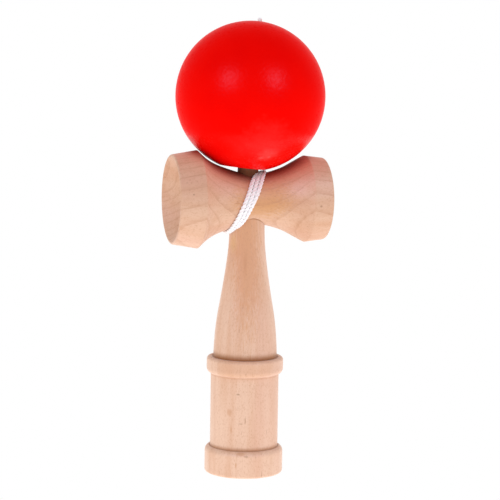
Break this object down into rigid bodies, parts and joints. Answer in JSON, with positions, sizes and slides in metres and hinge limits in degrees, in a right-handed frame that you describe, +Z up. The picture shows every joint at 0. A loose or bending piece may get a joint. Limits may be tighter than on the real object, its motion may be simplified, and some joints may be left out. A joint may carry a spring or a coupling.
{
  "type": "kendama",
  "caption": "Wooden kendama: turned handle with a spike and base cup, a cross-piece with a big and a small cup, and a ball on a string that sits on the spike.",
  "frame": {"origin": "centre of the flat rim under the handle, on the surface that the toy stands on", "axes": "+Z up along the handle to the spike and ball, +X along the cross-piece from the big cup to the small cup, -Y towards the viewer"},
  "size_m": [0.063, 0.06, 0.184],
  "materials": {
    "handle_wood": "fine sanded, matte",
    "cross_piece_wood": "fine sanded, matte",
    "red_lacquer": "satin red lacquer over wood",
    "bead_wood": "plain turned wood",
    "string": "white twisted cord"
  },
  "bodies": {
    "handle_body": {"handle": "handle_wood", "cross_piece": "cross_piece_wood", "anchor_knot": "string", "string_anchor": "string", "string_winding": "string", "string_riser": "string"},
    "string_end": {"bead": "bead_wood", "bead_knot": "string", "string_tail": "string"},
    "ball_body": {"ball": "red_lacquer"}
  },
  "joints": [
    {"name": "ball_lift", "type": "slide", "parent": "handle_body", "child": "string_end", "axis": [0, 0, 1], "range_m": [0, 0.032], "deforming": ["string_riser"]},
    {"name": "ball_spin", "type": "hinge", "parent": "string_end", "child": "ball_body", "pos_m": [0.00053, 0, 0.15245], "axis": [0.1045, 0, 0.9945], "continuous": true}
  ]
}
